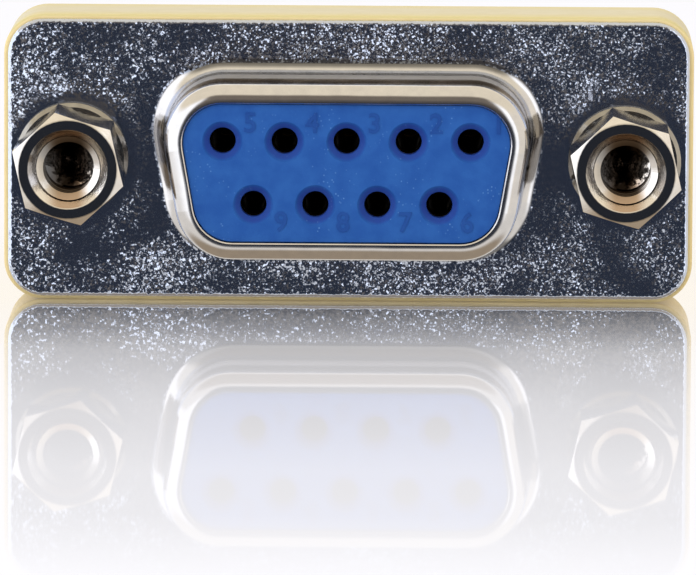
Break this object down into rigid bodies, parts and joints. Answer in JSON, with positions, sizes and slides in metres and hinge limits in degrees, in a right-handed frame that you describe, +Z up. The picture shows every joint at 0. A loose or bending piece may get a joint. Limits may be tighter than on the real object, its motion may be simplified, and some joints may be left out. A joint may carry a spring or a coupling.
{
  "type": "d-sub gender changer",
  "caption": "Slim double-ended connector adapter with a D-shaped metal collar of pin sockets and two hexagonal jack sockets on each side of a cream spacer.",
  "frame": {"origin": "on the surface that it stands on, under the middle of the spacer frame", "axes": "+Z up, +X to the right along the rows of contacts as seen from the front, and the front face looks towards -Y"},
  "size_m": [0.0312, 0.0168, 0.013],
  "materials": {
    "shell_plating": "bright tin plating with a fine crystal sparkle",
    "insulator_blue": "satin moulded blue",
    "frame_cream": "satin moulded cream",
    "contact_metal": "gold flashed",
    "socket_plating": "bright nickel plating",
    "washer_plating": "bright nickel plating",
    "bush_brass": "turned"
  },
  "bodies": {
    "root": {"front_shell": "shell_plating", "rear_shell": "shell_plating", "front_insulator": "insulator_blue", "rear_insulator": "insulator_blue", "spacer_frame": "frame_cream", "contact_1": "contact_metal", "contact_2": "contact_metal", "contact_3": "contact_metal", "contact_4": "contact_metal", "contact_5": "contact_metal", "contact_6": "contact_metal", "contact_7": "contact_metal", "contact_8": "contact_metal", "contact_9": "contact_metal", "front_left_jack_socket": "socket_plating", "front_right_jack_socket": "socket_plating", "rear_left_jack_socket": "socket_plating", "rear_right_jack_socket": "socket_plating", "front_left_lock_washer": "washer_plating", "front_right_lock_washer": "washer_plating", "rear_left_lock_washer": "washer_plating", "rear_right_lock_washer": "washer_plating", "left_threaded_bush": "bush_brass", "right_threaded_bush": "bush_brass"}
  },
  "joints": []
}
